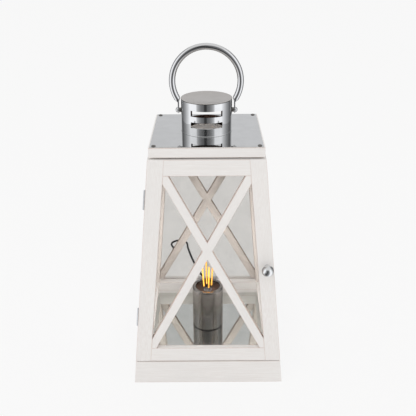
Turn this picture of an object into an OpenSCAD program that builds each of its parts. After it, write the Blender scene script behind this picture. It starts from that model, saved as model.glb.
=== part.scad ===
// Lantern table lamp: a tapered wooden lantern with a glazed door, a steel roof with a
// vented chimney and carrying ring, and an electric candle lamp inside.
// Millimetres, +Z up. The origin is the centre of the underside. The door faces -Y.

/* [Housing] */
// Width and depth of the plinth at the table
base_w = 240; // [220:1:260]
// How far each side leans in for each millimetre of height
lean = 0.0927; // [0.07:0.0001:0.11]
// Height of the plinth
plinth_h = 39; // [36:1:42]
// Height of the underside of the roof board
body_top_z = 376.7; // [370:0.1:384]
// Thickness of the plinth boards and width of the corner posts
post_w = 22.5; // [20:0.5:25]
// Height of the top edge of the lower wall rails
low_rail_top_z = 57.4; // [52:0.2:62]
// Height of the lower edge of the upper wall rails
high_rail_z = 352; // [346:1:356]
// Width of the crossed strips
brace_w = 13; // [10:0.5:15]
// Thickness of the crossed strips
brace_t = 8; // [6:0.5:9]
// Thickness of the glass
glass_t = 2.4; // [2:0.1:3]
// How deep the glass sits in its grooves
groove_d = 4; // [3:0.5:6]

/* [Door] */
// Thickness of the door
door_t = 18; // [16:0.5:20]
// Gap between the back of the door and the front posts
door_gap = 0.8; // [0.6:0.1:1.2]
// Width of the door's stiles and top rail
stile_w = 24; // [22:0.5:26]
// Height of the door's bottom rail
door_low_rail_h = 23.4; // [20:0.2:30]
// Height of the door's bottom edge
door_low_z = 40.5; // [40.5:0.1:41.5]
// Height of the door's top edge
door_top_z = 374; // [372:0.1:374.2]
// Diameter of the knob
knob_d = 18; // [15:0.5:20]
// Height of the knob
knob_z = 205; // [195:1:215]

/* [Roof] */
// Width of the roof board
roof_w = 166.8; // [164:0.2:168]
// Thickness of the roof board
roof_t = 14.3; // [12:0.1:16]
// Width of the steel roof plate
plate_w = 163; // [158:1:164]
// Diameter of the chimney
chimney_d = 77; // [70:0.2:80]
// Height of the chimney above the roof plate
chimney_h = 49; // [45:1:55]
// Thickness of the chimney wall
chimney_wall = 1.2; // [1:0.1:1.5]

/* [Carrying ring] */
// Thickness of the round bar
ring_bar_d = 9.4; // [8:0.2:10]
// Radius of the bar's centre line
ring_r = 51; // [50.6:0.1:51.4]
// Height of the centre of the ring
ring_z = 466.5; // [466:0.5:468]
// Height of the pivots
pivot_z = 423; // [422:0.5:424]

/* [Lamp] */
// Outer diameter of the lamp cup
cup_d = 52.8; // [50:0.2:56]
// Height of the lamp cup above the mirror floor
cup_h = 77.2; // [74:0.2:80]
// Thickness of the bulb's glass body
bulb_d = 35; // [34:0.5:35]

/* [Mains lead] */
// Thickness of the lead
lead_d = 4.2; // [4:0.1:4.5]
// Radius of the middle turns of the coil
coil_r = 25; // [24:0.5:26]

/* [Hidden] */
$fn = 64;
e = 0.01;
big = 300;

half_w = base_w / 2;
function half_at(z) = half_w - lean * z;

// The floor: boards under the mirror plate
base_board_t = 9;
floor_top_z = 32.4;
mirror_t = 0.8;
floor_board_t = 5;
batten_w = 12;
floor_board_z = floor_top_z - mirror_t - floor_board_t;

// The doorway and the front posts behind it
front_post_u = door_t + door_gap;
pane_depth = brace_t;
pane_inner_depth = brace_t + glass_t;

// The door's members
door_opening_low_z = door_low_z + door_low_rail_h;
door_opening_top_z = door_top_z - stile_w;
// Behind the glass the bottom rail keeps a low lip and then slopes down to the door's back
sill_lip_z = door_opening_low_z - groove_d + 1;
sill_fall = 8;

// The hinge line runs up the door's back left edge and leans with it
hinge_out = 1;
hinge_tilt_x = atan(lean);
hinge_tilt_y = atan(lean * cos(hinge_tilt_x));
hinge_mid_zs = [109, 306];
hinge_len = 30;
knuckle_d = 5.2;
hinge_pin_d = 2.6;
leaf_t = 1.2;
leaf_w = 15;
knuckle_len = hinge_len / 3;
knuckle_gap = 0.2;
hinge_screw_x = 9;
hinge_screw_z = 10;

// Catch
catch_z = 160;
magnet_d = 10;
magnet_t = 4;
strike_d = 12;
strike_t = 1.2;

// Roof
roof_top_z = body_top_z + roof_t;
plate_t = 0.8;
plate_top_z = roof_top_z + plate_t;
vent_d = 62;
roof_screw_xy = 76;
slot_half_angle = 37;
slot_h = 8.6;
slot_mid_zs = [408.4, 425.9];
cap_t = 1.2;
chimney_r = chimney_d / 2;
chimney_top_z = plate_top_z + chimney_h;

// Carrying ring
tab_x = 42.5;
tab_t = 1.8;
tab_w = 10;
rivet_d = 4.6;
rivet_bore_d = 4.7;
ring_end_angle = 30;
tab_top_z = pivot_z + 12;
spacer_d = 7;

// Lamp
cup_r = cup_d / 2;
cup_wall = 0.8;
cup_mouth_r = 20.7;
holder_r = 14;
holder_top_z = 101;
cap_r = 6.9;
cap_low_z = 78;
bulb_seat_z = 101.2;
nipple_r = 5;
nipple_bore_r = 3.2;
nut_t = 3;
lead_exit_z = 18;

// Lead
relief_len = 30;
relief_end_y = 150;
coil_at = [-66, 154.5];
coil_columns = 4;
coil_layers = 2;
lead_sides = 10;
coil_out_r = coil_r + coil_columns * lead_d / 2;
coil_in_r = coil_r - coil_columns * lead_d / 2;
coil_h = coil_layers * lead_d;
lay = lead_d / 2 + 0.1;
loop_route = [
    [0, 150, 18], [0, 158, 17.5], [-1, 168, 14], [-3, 180, 8.5], [-7, 193, 4], [-12, 206, lay],
    [-19, 226, lay], [-27.5, 252, lay], [-35.5, 282, lay], [-41.5, 309, lay], [-45.5, 329, lay],
    [-46.6, 339.9, lay], [-47.7, 347.9, lay], [-50, 354.3, lay], [-54.5, 359.4, lay],
    [-60.6, 362.5, lay], [-67.3, 363.1, lay], [-73.9, 361.3, lay], [-79.3, 357.1, lay],
    [-82.8, 351.3, lay], [-83.9, 344.6, lay], [-82.4, 337.9, lay], [-80.1, 332.4, lay],
    [-78.1, 324.5, lay], [-78.7, 316.4, lay], [-80.2, 298, lay], [-84.5, 276, lay], [-90, 250, lay],
    [-95, 222, lay], [-97.8, 190, lay], [-97.3, 154.5, lay]
];
tail_route = [
    [-66, 123.2, 6.4], [-54, 123.6, 6.2], [-40, 125, 4.6], [-26, 127.5, 2.7], [-12, 131, lay],
    [4, 136, lay], [16, 141, 2.8], [24, 144.6, 4.6], [32, 146, 6.6]
];
plug_at = [32, 146, 6.9];
plug_relief_len = 18;
plug_len = 36;
plug_w = 35;
plug_t = 13.7;
plug_pin_len = 19;
plug_pin_d = 4;
plug_pin_gap = 18.6;

// Small sizes of the lamp
shoulder_r = 3;
lip_h = 3;
flange_t = 2.5;
holder_low_z = floor_top_z + 3.8;
nipple_low_z = 23.2;
nipple_top_z = 46;
bulb_neck_r = 7.6;
bulb_wall = 0.9;
bulb_len = 74;
bulb_steps = 24;
filament_low_z = 109;
filament_top_z = 151;
filament_low_r = 5.5;
filament_high_r = 8;
filament_r = 1.2;
filament_gap = 0.08;
filament_angles = [15, 105, 195, 285];
elbow_r = 5;
relief_collar_t = 3;
relief_slack = 0.7;

// Small sizes of the door's fittings
leaf_off = 0.05;
hinge_screw_r = 1.2;
hinge_screw_len = 11;
knob_screw_r = 1.8;
knob_head_r = 4;
knob_head_t = 2.2;
knob_reach = 12.5;
knob_screw_in = 8;
door_depth = door_t * cos(hinge_tilt_x);
catch_x = half_at(catch_z) - 11;
knob_x = half_at(knob_z) - stile_w / 2 + 1.5;
frame_knuckles = [
    [-hinge_len / 2, -knuckle_len / 2 - knuckle_gap], [knuckle_len / 2 + knuckle_gap, hinge_len / 2]
];
door_knuckles = [[-knuckle_len / 2, knuckle_len / 2]];

// Small sizes of the roof and the carrying ring
roof_screw_r = 1.5;
roof_screw_len = 12;
rivet_inner_x = chimney_r - 3.5;
rivet_outer_x = tab_x + tab_t / 2;

// Colours that several parts share
plinth_color = "#DDDAD6";
wood_color = "#E8E5E1";
glass_color = "#CDD1D0";

// ---- Shared shapes ----

// Everything between two planes that lean with the front wall, near_d and far_d behind it
module front_slab(near_d, far_d) {
    low = -e;
    high = 420;
    rotate([90, 0, 90]) translate([0, 0, -big]) linear_extrude(2 * big)
        polygon([
            [near_d - half_at(low), low], [far_d - half_at(low), low],
            [far_d - half_at(high), high], [near_d - half_at(high), high]
        ]);
}

// A drawing in the front view, given the thickness of the wall from near_d to far_d
module front_cut(near_d, far_d) {
    intersection() {
        front_slab(near_d, far_d);
        rotate([90, 0, 0]) linear_extrude(half_w + 1) children();
    }
}

// The same for the back wall and the right wall
module back_cut(near_d, far_d) rotate([0, 0, 180]) front_cut(near_d, far_d) children();
module right_cut(near_d, far_d) rotate([0, 0, 90]) front_cut(near_d, far_d) children();

// A flat outline between two leaning edges, each given as a distance from that side's face
module between_edges(left_in, right_in, low_z, high_z)
    polygon([
        [left_in - half_at(low_z), low_z], [half_at(low_z) - right_in, low_z],
        [half_at(high_z) - right_in, high_z], [left_in - half_at(high_z), high_z]
    ]);

// A strip from one corner of an opening to the opposite one, cut off at the opening's edges
module diagonal_strip(left_in, right_in, low_z, high_z, rising) {
    from_x = rising ? left_in - half_at(low_z) : half_at(low_z) - right_in;
    to_x = rising ? half_at(high_z) - right_in : left_in - half_at(high_z);
    run = [to_x - from_x, high_z - low_z];
    side = [-run[1], run[0]] / norm(run) * brace_w / 2;
    start = [from_x, low_z] - run * 0.1;
    finish = [to_x, high_z] + run * 0.1;
    intersection() {
        between_edges(left_in, right_in, low_z, high_z);
        polygon([start - side, finish - side, finish + side, start + side]);
    }
}

// A solid tube swept along a list of points, with rings square to the path
function unit(v) = v / norm(v);
function heading(path, i) =
    unit(path[min(i + 1, len(path) - 1)] - path[max(i - 1, 0)]);
function ring_at(path, i) =
    let (
        ahead = heading(path, i),
        across = unit(cross(ahead, [0, 0, 1])),
        up = cross(across, ahead)
    )
    [for (k = [0:lead_sides - 1])
        path[i] + (across * cos(360 * k / lead_sides) + up * sin(360 * k / lead_sides)) * lead_d / 2];
// Points on a smooth curve through the route, a few to each stretch
function smooth(route, per) = [
    for (i = [0:len(route) - 2]) for (k = [0:per - 1])
        let (
            a = route[max(i - 1, 0)], b = route[i], c = route[i + 1],
            d = route[min(i + 2, len(route) - 1)], s = k / per
        )
        (2 * b + (c - a) * s + (2 * a - 5 * b + 4 * c - d) * s * s
            + (3 * b - a - 3 * c + d) * s * s * s) / 2,
    route[len(route) - 1]
];
module swept_tube(path) {
    points = [for (i = [0:len(path) - 1]) for (p = ring_at(path, i)) p];
    n = lead_sides;
    walls = [for (i = [0:len(path) - 2]) for (k = [0:n - 1])
        [i * n + k, i * n + (k + 1) % n, (i + 1) * n + (k + 1) % n, (i + 1) * n + k]];
    first = [for (k = [n - 1:-1:0]) k];
    last = [for (k = [0:n - 1]) (len(path) - 1) * n + k];
    polyhedron(points, concat([first], walls, [last]));
}

// Moves a shape drawn along +Z to the hinge line at the height z: local +X runs into the
// opening, +Y goes into the housing
module at_hinge(z)
    translate([-half_at(z) - hinge_out, door_t + door_gap / 2 - half_at(z), z])
        rotate([-hinge_tilt_x, 0, 0]) rotate([0, hinge_tilt_y, 0]) children();

// ---- Plinth and floor ----

module plinth_front()
    color(plinth_color) front_cut(0, post_w) between_edges(0, 0, 0, plinth_h);

module plinth_back()
    color(plinth_color) difference() {
        back_cut(0, post_w) between_edges(0, 0, 0, plinth_h);
        translate([0, half_w + 1, lead_exit_z]) rotate([90, 0, 0]) cylinder(d = 8, h = post_w + 6);
    }

module plinth_side()
    intersection() {
        right_cut(0, post_w) between_edges(0, 0, 0, plinth_h);
        front_slab(post_w, big);
        rotate([0, 0, 180]) front_slab(post_w, big);
    }
module plinth_right() color(plinth_color) plinth_side();
module plinth_left() color(plinth_color) mirror([1, 0, 0]) plinth_side();

// A horizontal board that fills the plinth between two heights
module inner_board(low_z, high_z) {
    module outline() between_edges(post_w, post_w, low_z, high_z);
    intersection() {
        rotate([90, 0, 0]) translate([0, 0, -big]) linear_extrude(2 * big) outline();
        rotate([90, 0, 90]) translate([0, 0, -big]) linear_extrude(2 * big) outline();
    }
}
module base_board() color("#B9966B") inner_board(0, base_board_t);
module floor_battens() {
    module batten()
        intersection() {
            inner_board(base_board_t, floor_board_z);
            translate([half_at(floor_board_z) - post_w - batten_w, -big / 2, 0])
                cube([big, big, big / 2]);
        }
    color("#C2A076") {
        batten();
        mirror([1, 0, 0]) batten();
    }
}
module floor_board()
    color("#C2A076") difference() {
        inner_board(floor_board_z, floor_top_z - mirror_t);
        translate([0, 0, floor_board_z - 1]) cylinder(r = nipple_r + 0.2, h = floor_board_t + 2);
    }
module floor_mirror()
    color("#B2B6B0") difference() {
        inner_board(floor_top_z - mirror_t, floor_top_z);
        translate([0, 0, floor_board_z]) cylinder(r = nipple_r + 0.2, h = floor_board_t + 2);
    }

// ---- Posts, rails, strips and glass of the fixed walls ----

// The groove that the pane of the right wall sits in, between the inner edges of its posts
module right_groove()
    right_cut(pane_depth, pane_inner_depth) right_pane_outline();
module right_pane_outline()
    between_edges(front_post_u + post_w - groove_d, post_w - groove_d,
        low_rail_top_z - groove_d, high_rail_z + groove_d);
module back_groove()
    back_cut(pane_depth, pane_inner_depth) back_pane_outline();
module back_pane_outline()
    between_edges(post_w - groove_d, post_w - groove_d,
        low_rail_top_z - groove_d, high_rail_z + groove_d);

module post_front_right_shape()
    difference() {
        intersection() {
            right_cut(0, post_w) between_edges(front_post_u, 0, plinth_h, body_top_z);
            front_slab(front_post_u, front_post_u + post_w);
        }
        right_groove();
    }
module post_front_right()
    color(wood_color) difference() {
        post_front_right_shape();
        catch_pocket(front_post_u - e, magnet_t + e, magnet_d);
    }
module post_front_left()
    color(wood_color) difference() {
        mirror([1, 0, 0]) post_front_right_shape();
        leaf_pockets(1);
    }
module post_back_right_shape()
    difference() {
        intersection() {
            right_cut(0, post_w) between_edges(0, 0, plinth_h, body_top_z);
            rotate([0, 0, 180]) front_slab(0, post_w);
        }
        right_groove();
        back_groove();
    }
module post_back_right() color(wood_color) post_back_right_shape();
module post_back_left() color(wood_color) mirror([1, 0, 0]) post_back_right_shape();

module right_rail(low_z, high_z)
    difference() {
        right_cut(0, post_w) between_edges(front_post_u + post_w, post_w, low_z, high_z);
        right_groove();
    }
module back_rail(low_z, high_z)
    difference() {
        back_cut(0, post_w) between_edges(post_w, post_w, low_z, high_z);
        back_groove();
    }
module rail_back_low() color(wood_color) back_rail(plinth_h, low_rail_top_z);
module rail_back_high() color(wood_color) back_rail(high_rail_z, body_top_z);
module right_rails() {
    right_rail(plinth_h, low_rail_top_z);
    right_rail(high_rail_z, body_top_z);
}
module rails_right() color(wood_color) right_rails();
module rails_left() color(wood_color) mirror([1, 0, 0]) right_rails();

// Two crossed strips, halved into each other: each keeps one half of the thickness there
module crossed_strips(left_in, right_in, low_z, high_z) {
    module strip(rising) diagonal_strip(left_in, right_in, low_z, high_z, rising);
    difference() {
        front_cut(0, brace_t) strip(true);
        front_cut(brace_t / 2, brace_t + 1) strip(false);
    }
    difference() {
        front_cut(0, brace_t) strip(false);
        front_cut(-1, brace_t / 2) strip(true);
    }
}
module braces_back()
    color("#C0B8B0") rotate([0, 0, 180])
        crossed_strips(post_w, post_w, low_rail_top_z, high_rail_z);
module right_strips()
    rotate([0, 0, 90]) crossed_strips(front_post_u + post_w, post_w, low_rail_top_z, high_rail_z);
module braces_right() color(wood_color) right_strips();
module braces_left() color(wood_color) mirror([1, 0, 0]) right_strips();

module pane_back() color(glass_color, 0.3) back_groove();
module pane_right() color(glass_color, 0.3) right_groove();
module pane_left() color(glass_color, 0.3) mirror([1, 0, 0]) right_groove();

// ---- Roof and chimney ----

module roof_screw_places()
    for (x = [-roof_screw_xy, roof_screw_xy]) for (y = [-roof_screw_xy, roof_screw_xy])
        translate([x, y, plate_top_z]) children();

module roof_board()
    color(wood_color) difference() {
        translate([-roof_w / 2, -roof_w / 2, body_top_z]) cube([roof_w, roof_w, roof_t]);
        translate([0, 0, body_top_z - 1]) cylinder(d = vent_d, h = roof_t + 2);
        roof_screw_places() translate([0, 0, -roof_screw_len]) cylinder(r = roof_screw_r, h = 20);
    }
module roof_plate()
    color("#BEBFBF") difference() {
        translate([-plate_w / 2, -plate_w / 2, roof_top_z]) cube([plate_w, plate_w, plate_t]);
        translate([0, 0, roof_top_z - 1]) cylinder(d = vent_d, h = plate_t + 2);
        roof_screw_places() translate([0, 0, -2]) cylinder(r = roof_screw_r, h = 4);
    }
module roof_screws()
    color("#77736F") roof_screw_places() {
        translate([0, 0, -roof_screw_len]) cylinder(r = roof_screw_r, h = roof_screw_len);
        cylinder(r1 = 3.2, r2 = 2, h = 1.6);
    }
module chimney() {
    slot_w = 2 * chimney_r * sin(slot_half_angle);
    color("#8E959B") difference() {
        translate([0, 0, plate_top_z]) rotate_extrude() {
            translate([chimney_r - chimney_wall, 0]) square([chimney_wall, chimney_h]);
            translate([vent_d / 2 + 0.5, 0])
                square([chimney_r - vent_d / 2 - 0.5, chimney_wall]);
        }
        for (z = slot_mid_zs)
            translate([-slot_w / 2, -chimney_r - 1, z - slot_h / 2])
                cube([slot_w, 2 * chimney_r + 2, slot_h]);
        translate([-chimney_r - 1, 0, pivot_z]) rotate([0, 90, 0])
            cylinder(d = rivet_d, h = 2 * chimney_r + 2);
    }
}
module chimney_cap()
    color("#B2AEAA") translate([0, 0, chimney_top_z]) {
        cylinder(r = chimney_r + 0.4, h = cap_t);
        translate([0, 0, -3]) cylinder(r = chimney_r - chimney_wall, h = 3 + e);
    }

// ---- Carrying ring ----

module ring_rivets() {
    module rivet() {
        translate([rivet_inner_x, 0, 0]) rotate([0, 90, 0])
            cylinder(d = rivet_d, h = rivet_outer_x + 0.8 - rivet_inner_x);
        translate([rivet_inner_x, 0, 0]) rotate([0, 90, 0]) cylinder(d = 7.5, h = 1.9);
        // dome head, flat towards the tab
        translate([rivet_outer_x + 0.3, 0, 0]) rotate([0, 90, 0]) rotate_extrude()
            intersection() {
                translate([0, -1]) circle(r = 4.2);
                square([5, 5]);
            }
    }
    color("#C8C8C8") translate([0, 0, pivot_z]) {
        rivet();
        mirror([1, 0, 0]) rivet();
    }
}
module ring_spacers() {
    module spacer()
        translate([chimney_r - 0.3, 0, 0]) rotate([0, 90, 0]) difference() {
            cylinder(d = spacer_d, h = tab_x - tab_t / 2 - 0.3 - chimney_r + 0.3);
            translate([0, 0, -1]) cylinder(d = rivet_d, h = 12);
        }
    color("#2A2826") translate([0, 0, pivot_z]) difference() {
        union() {
            spacer();
            mirror([1, 0, 0]) spacer();
        }
        translate([0, 0, -10]) cylinder(r = chimney_r, h = 20);
    }
}
module carrying_ring() {
    // each end of the bar is pressed flat into an upright tab with the pivot hole
    module bar_end()
        hull() {
            translate([0, 0, ring_z]) rotate([0, ring_end_angle, 0]) translate([ring_r, 0, 0])
                cylinder(d = ring_bar_d, h = 0.2, center = true, $fn = 32);
            translate([tab_x - tab_t / 2, -tab_w / 2, tab_top_z - 0.2]) cube([tab_t, tab_w, 0.2]);
        }
    module tab()
        translate([tab_x - tab_t / 2, 0, 0]) {
            translate([0, -tab_w / 2, pivot_z]) cube([tab_t, tab_w, tab_top_z - pivot_z]);
            translate([0, 0, pivot_z]) rotate([0, 90, 0]) cylinder(d = tab_w, h = tab_t);
        }
    module leg() {
        bar_end();
        tab();
    }
    color("#A9ADB0") difference() {
        union() {
            translate([0, 0, ring_z]) rotate([90, 0, 0]) rotate([0, 0, -ring_end_angle])
                rotate_extrude(angle = 180 + 2 * ring_end_angle)
                    translate([ring_r, 0]) circle(d = ring_bar_d);
            leg();
            mirror([1, 0, 0]) leg();
        }
        translate([-tab_x - 5, 0, pivot_z]) rotate([0, 90, 0])
            cylinder(d = rivet_bore_d, h = 2 * tab_x + 10);
    }
}

// ---- Lamp ----

// A thin cup with a rounded shoulder and a lip turned in round the bulb
module lamp_cup()
    color("#5A534E") difference() {
        translate([0, 0, floor_top_z]) rotate_extrude() {
            translate([0, 0]) square([cup_r - cup_wall / 2, cup_wall]);
            translate([cup_r - cup_wall, 0]) square([cup_wall, cup_h - shoulder_r]);
            translate([cup_r - shoulder_r, cup_h - shoulder_r]) intersection() {
                difference() {
                    circle(r = shoulder_r);
                    circle(r = shoulder_r - cup_wall);
                }
                square([shoulder_r, shoulder_r]);
            }
            translate([cup_mouth_r, cup_h - cup_wall])
                square([cup_r - shoulder_r - cup_mouth_r + e, cup_wall]);
            translate([cup_mouth_r, cup_h - lip_h]) square([cup_wall, lip_h]);
        }
        translate([0, 0, floor_top_z - 1]) cylinder(r = nipple_r + 0.2, h = 3);
    }

// The socket: a body round the bulb's cap and a flange that closes the cup below its lip
module lamp_holder()
    color("#4A3A30") difference() {
        union() {
            translate([0, 0, holder_low_z]) cylinder(r = holder_r, h = holder_top_z - holder_low_z);
            translate([0, 0, holder_top_z - flange_t])
                cylinder(r = cup_r - cup_wall, h = flange_t);
        }
        translate([0, 0, cap_low_z - 1.5]) cylinder(r = cap_r + 0.06, h = 60);
        translate([0, 0, holder_low_z - 1]) cylinder(r = nipple_r, h = nipple_top_z - holder_low_z + 1);
    }

module lamp_nipple()
    color("#B08A45") difference() {
        translate([0, 0, nipple_low_z]) cylinder(r = nipple_r, h = nipple_top_z - nipple_low_z);
        translate([0, 0, nipple_low_z - 1]) cylinder(r = nipple_bore_r, h = 60);
    }
module nipple_nuts()
    color("#B5B7B8") for (z = [floor_board_z - nut_t, floor_top_z + cup_wall])
        translate([0, 0, z]) difference() {
            cylinder(r = 8.5, h = nut_t, $fn = 6);
            translate([0, 0, -1]) cylinder(r = nipple_r, h = nut_t + 2);
        }

// Outline of the candle bulb at the share s of its height, from neck to tip
function bulb_radius(s) =
    let (belly = bulb_d / 2 * pow(sin(180 * pow(s, 0.716)), 0.85))
    s < 0.3 ? max(bulb_neck_r, belly) : belly;
module bulb_profile(inset)
    polygon(concat(
        [[0, bulb_seat_z]],
        [for (k = [0:bulb_steps - 1]) let (s = k / bulb_steps)
            [bulb_radius(s) - inset, bulb_seat_z + s * (bulb_len - inset)]],
        [[0, bulb_seat_z + bulb_len - inset]]
    ));
module bulb_glass()
    color("#E6E8E8", 0.25) rotate_extrude() difference() {
        bulb_profile(0);
        bulb_profile(bulb_wall);
    }
module bulb_cap()
    color("#B9BBBC") {
        translate([0, 0, cap_low_z + 2]) cylinder(r = cap_r, h = bulb_seat_z - cap_low_z - 2);
        translate([0, 0, cap_low_z]) cylinder(r1 = 3, r2 = 5.5, h = 2 + e);
    }
module bulb_stem()
    color("#D5D8D8", 0.6) {
        translate([0, 0, bulb_seat_z]) cylinder(r1 = 5.5, r2 = 2.5, h = 8);
        translate([0, 0, bulb_seat_z]) cylinder(r = 1.2, h = filament_top_z + 1.5 - bulb_seat_z);
        for (z = [filament_low_z, filament_top_z])
            translate([0, 0, z]) for (a = filament_angles) rotate([0, 0, a])
                rotate([0, 90, 0]) cylinder(r = 0.5, h = filament_r_at(z));
    }
function filament_r_at(z) = z == filament_low_z ? filament_low_r : filament_high_r;
module bulb_filaments() {
    rise = filament_top_z - filament_low_z;
    spread = filament_high_r - filament_low_r;
    color("#F0A030") for (a = filament_angles) rotate([0, 0, a])
        translate([filament_low_r + filament_r + filament_gap, 0, filament_low_z])
            rotate([0, atan(spread / rise), 0]) cylinder(r = filament_r, h = norm([rise, spread]));
}

// ---- Mains lead ----

module inner_lead() {
    y_end = half_at(lead_exit_z) - post_w - relief_collar_t;
    color("#1F1F20") {
        translate([0, elbow_r, lead_exit_z]) rotate([-90, 0, 0])
            cylinder(d = lead_d, h = y_end - elbow_r - relief_slack);
        translate([0, elbow_r, lead_exit_z + elbow_r]) rotate([0, 90, 0]) rotate([0, 0, 180])
            mirror([1, 0, 0]) rotate_extrude(angle = 90) translate([elbow_r, 0]) circle(d = lead_d);
        translate([0, 0, lead_exit_z + elbow_r]) cylinder(d = lead_d, h = 12);
    }
}
// Moulded strain relief: a collar inside, a neck through the board and a tapered tail
module lead_relief() {
    inner_y = half_at(lead_exit_z) - post_w - relief_slack;
    outer_y = half_at(lead_exit_z) + relief_slack;
    tail_y = relief_end_y - relief_len;
    color("#1B1B1C") translate([0, 0, lead_exit_z]) rotate([-90, 0, 0]) {
        translate([0, 0, inner_y - relief_collar_t]) cylinder(r = 6.5, h = relief_collar_t);
        translate([0, 0, inner_y - e]) cylinder(r = 3.98, h = outer_y - inner_y + 2 * e);
        translate([0, 0, outer_y]) cylinder(r = 6.5, h = tail_y + 2 - outer_y);
        translate([0, 0, tail_y]) cylinder(r1 = 4.6, r2 = lead_d / 2 + 0.7, h = relief_len);
    }
}
module lead_loop() color("#18191B") swept_tube(smooth(loop_route, 2));
module lead_tail() color("#18191B") swept_tube(smooth(tail_route, 2));
module lead_coil()
    color("#18191B") translate([coil_at[0], coil_at[1], 0.1]) rotate_extrude()
        translate([coil_in_r, 0]) square([coil_out_r - coil_in_r, coil_h]);

// A flat two-pin plug lying on the table, with its own short strain relief
module plug_body() {
    body_x = plug_at[0] + plug_relief_len;
    color("#1B1B1C") difference() {
        union() {
            translate([plug_at[0], plug_at[1], plug_at[2]]) rotate([0, 90, 0])
                cylinder(r1 = lead_d / 2 + 0.7, r2 = 4.6, h = plug_relief_len + 2);
            translate([body_x, plug_at[1], 0.05]) linear_extrude(plug_t)
                polygon([
                    [0, -6], [0, 6], [9, 11], [20, plug_w / 2 - 1], [plug_len, plug_w / 2],
                    [plug_len, -plug_w / 2], [20, 1 - plug_w / 2], [9, -11]
                ]);
        }
        plug_pin_shapes(6);
    }
}
module plug_pin_shapes(root)
    for (side = [-1, 1])
        translate([plug_at[0] + plug_relief_len + plug_len - root,
                plug_at[1] + side * plug_pin_gap / 2, plug_at[2]])
            rotate([0, 90, 0]) cylinder(d = plug_pin_d, h = plug_pin_len + root);
module plug_pins() color("#C9CACB") plug_pin_shapes(6);

// ---- Door, its hinges and its catch ----

// Places a shape drawn along +Z so that it runs into the door or post, square to the front
// wall, from a point the given depth behind the outer face
module into_front(x, z, depth)
    translate([x, depth - half_at(z), z]) rotate([-hinge_tilt_x, 0, 0]) rotate([-90, 0, 0])
        children();

module catch_pocket(depth, deep, wide)
    into_front(catch_x, catch_z, depth) translate([0, 0, -0.5]) cylinder(d = wide, h = deep + 0.5);
module catch_magnet()
    color("#8C8E90") into_front(catch_x, catch_z, front_post_u)
        cylinder(d = magnet_d, h = magnet_t);
module strike_plate()
    color("#B5B7B8") into_front(catch_x, catch_z, door_t)
        translate([0, 0, -strike_t]) cylinder(d = strike_d, h = strike_t);

// One half of a butt hinge in the hinge line's own frame; side is 1 for the post's half
module hinge_half(side, knuckles, bore_d) {
    module plate(x0, x1, z0, z1)
        translate([x0, side > 0 ? leaf_off : -leaf_off - leaf_t, z0]) cube([x1 - x0, leaf_t, z1 - z0]);
    difference() {
        union() {
            plate(knuckle_d / 2 + 0.4, leaf_w, -hinge_len / 2, hinge_len / 2);
            for (k = knuckles) {
                plate(0, knuckle_d / 2 + 0.5, k[0], k[1]);
                translate([0, 0, k[0]]) cylinder(d = knuckle_d, h = k[1] - k[0]);
            }
        }
        translate([0, 0, -hinge_len]) cylinder(d = bore_d, h = 2 * hinge_len);
        hinge_screw_places(side) translate([0, 0, -2]) cylinder(r = hinge_screw_r, h = 6);
    }
}
// The screws of a leaf, drawn along +Z from the leaf's visible face into the wood
module hinge_screw_places(side)
    for (z = [-hinge_screw_z, hinge_screw_z])
        translate([hinge_screw_x, side * leaf_off, z]) rotate([-90 * side, 0, 0]) children();

module hinge_frame_leaves()
    color("#B7B9BA") for (z = hinge_mid_zs) at_hinge(z) hinge_half(1, frame_knuckles, hinge_pin_d);
module hinge_door_leaves()
    color("#B7B9BA") for (z = hinge_mid_zs)
        at_hinge(z) hinge_half(-1, door_knuckles, hinge_pin_d + 0.1);
module hinge_pins()
    color("#A2A4A5") for (z = hinge_mid_zs)
        at_hinge(z) translate([0, 0, -hinge_len / 2 - 0.6]) cylinder(d = hinge_pin_d, h = hinge_len + 1.2);
module leaf_screws(side)
    for (z = hinge_mid_zs) at_hinge(z) hinge_screw_places(side)
        cylinder(r = hinge_screw_r, h = hinge_screw_len);
module hinge_frame_screws() color("#A2A4A5") leaf_screws(1);
module hinge_door_screws() color("#A2A4A5") leaf_screws(-1);
// Room for a leaf, the hinge barrel and the screws in the post (side 1) or the door (side -1)
module leaf_pockets(side)
    for (z = hinge_mid_zs) at_hinge(z) {
        translate([-1, side > 0 ? 0 : -leaf_off - leaf_t, -hinge_len / 2])
            cube([leaf_w + 1, leaf_off + leaf_t, hinge_len]);
        translate([0, 0, -hinge_len / 2 - 1]) cylinder(d = knuckle_d + 0.8, h = hinge_len + 2);
        hinge_screw_places(side) cylinder(r = hinge_screw_r, h = hinge_screw_len);
    }

module door_groove()
    front_cut(pane_depth, pane_inner_depth)
        between_edges(stile_w - groove_d, stile_w - groove_d,
            door_opening_low_z - groove_d, door_opening_top_z + groove_d);
module door_member() front_cut(0, door_t) children();
module door_stile_left()
    color(wood_color) difference() {
        door_member() stile_outline(-1);
        door_groove();
        leaf_pockets(-1);
    }
module stile_outline(side)
    polygon([
        [side * half_at(door_low_z), door_low_z],
        [side * (half_at(door_low_z) - stile_w), door_low_z],
        [side * (half_at(door_top_z) - stile_w), door_top_z],
        [side * half_at(door_top_z), door_top_z]
    ]);
module door_stile_right()
    color(wood_color) difference() {
        door_member() stile_outline(1);
        door_groove();
        into_front(catch_x, catch_z, door_t) translate([0, 0, -strike_t])
            cylinder(d = strike_d, h = strike_t + 1);
        into_front(knob_x, knob_z, 0) {
            translate([0, 0, -1]) cylinder(r = knob_screw_r, h = door_t + 4);
            translate([0, 0, door_depth - knob_head_t]) cylinder(r = knob_head_r, h = knob_head_t + 1);
        }
    }
module door_rail_top()
    color(wood_color) difference() {
        door_member() between_edges(stile_w, stile_w, door_opening_top_z, door_top_z);
        door_groove();
    }
module door_rail_low()
    color(wood_color) difference() {
        door_member() between_edges(stile_w, stile_w, door_low_z, door_opening_low_z);
        door_groove();
        sill_slope();
    }
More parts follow.
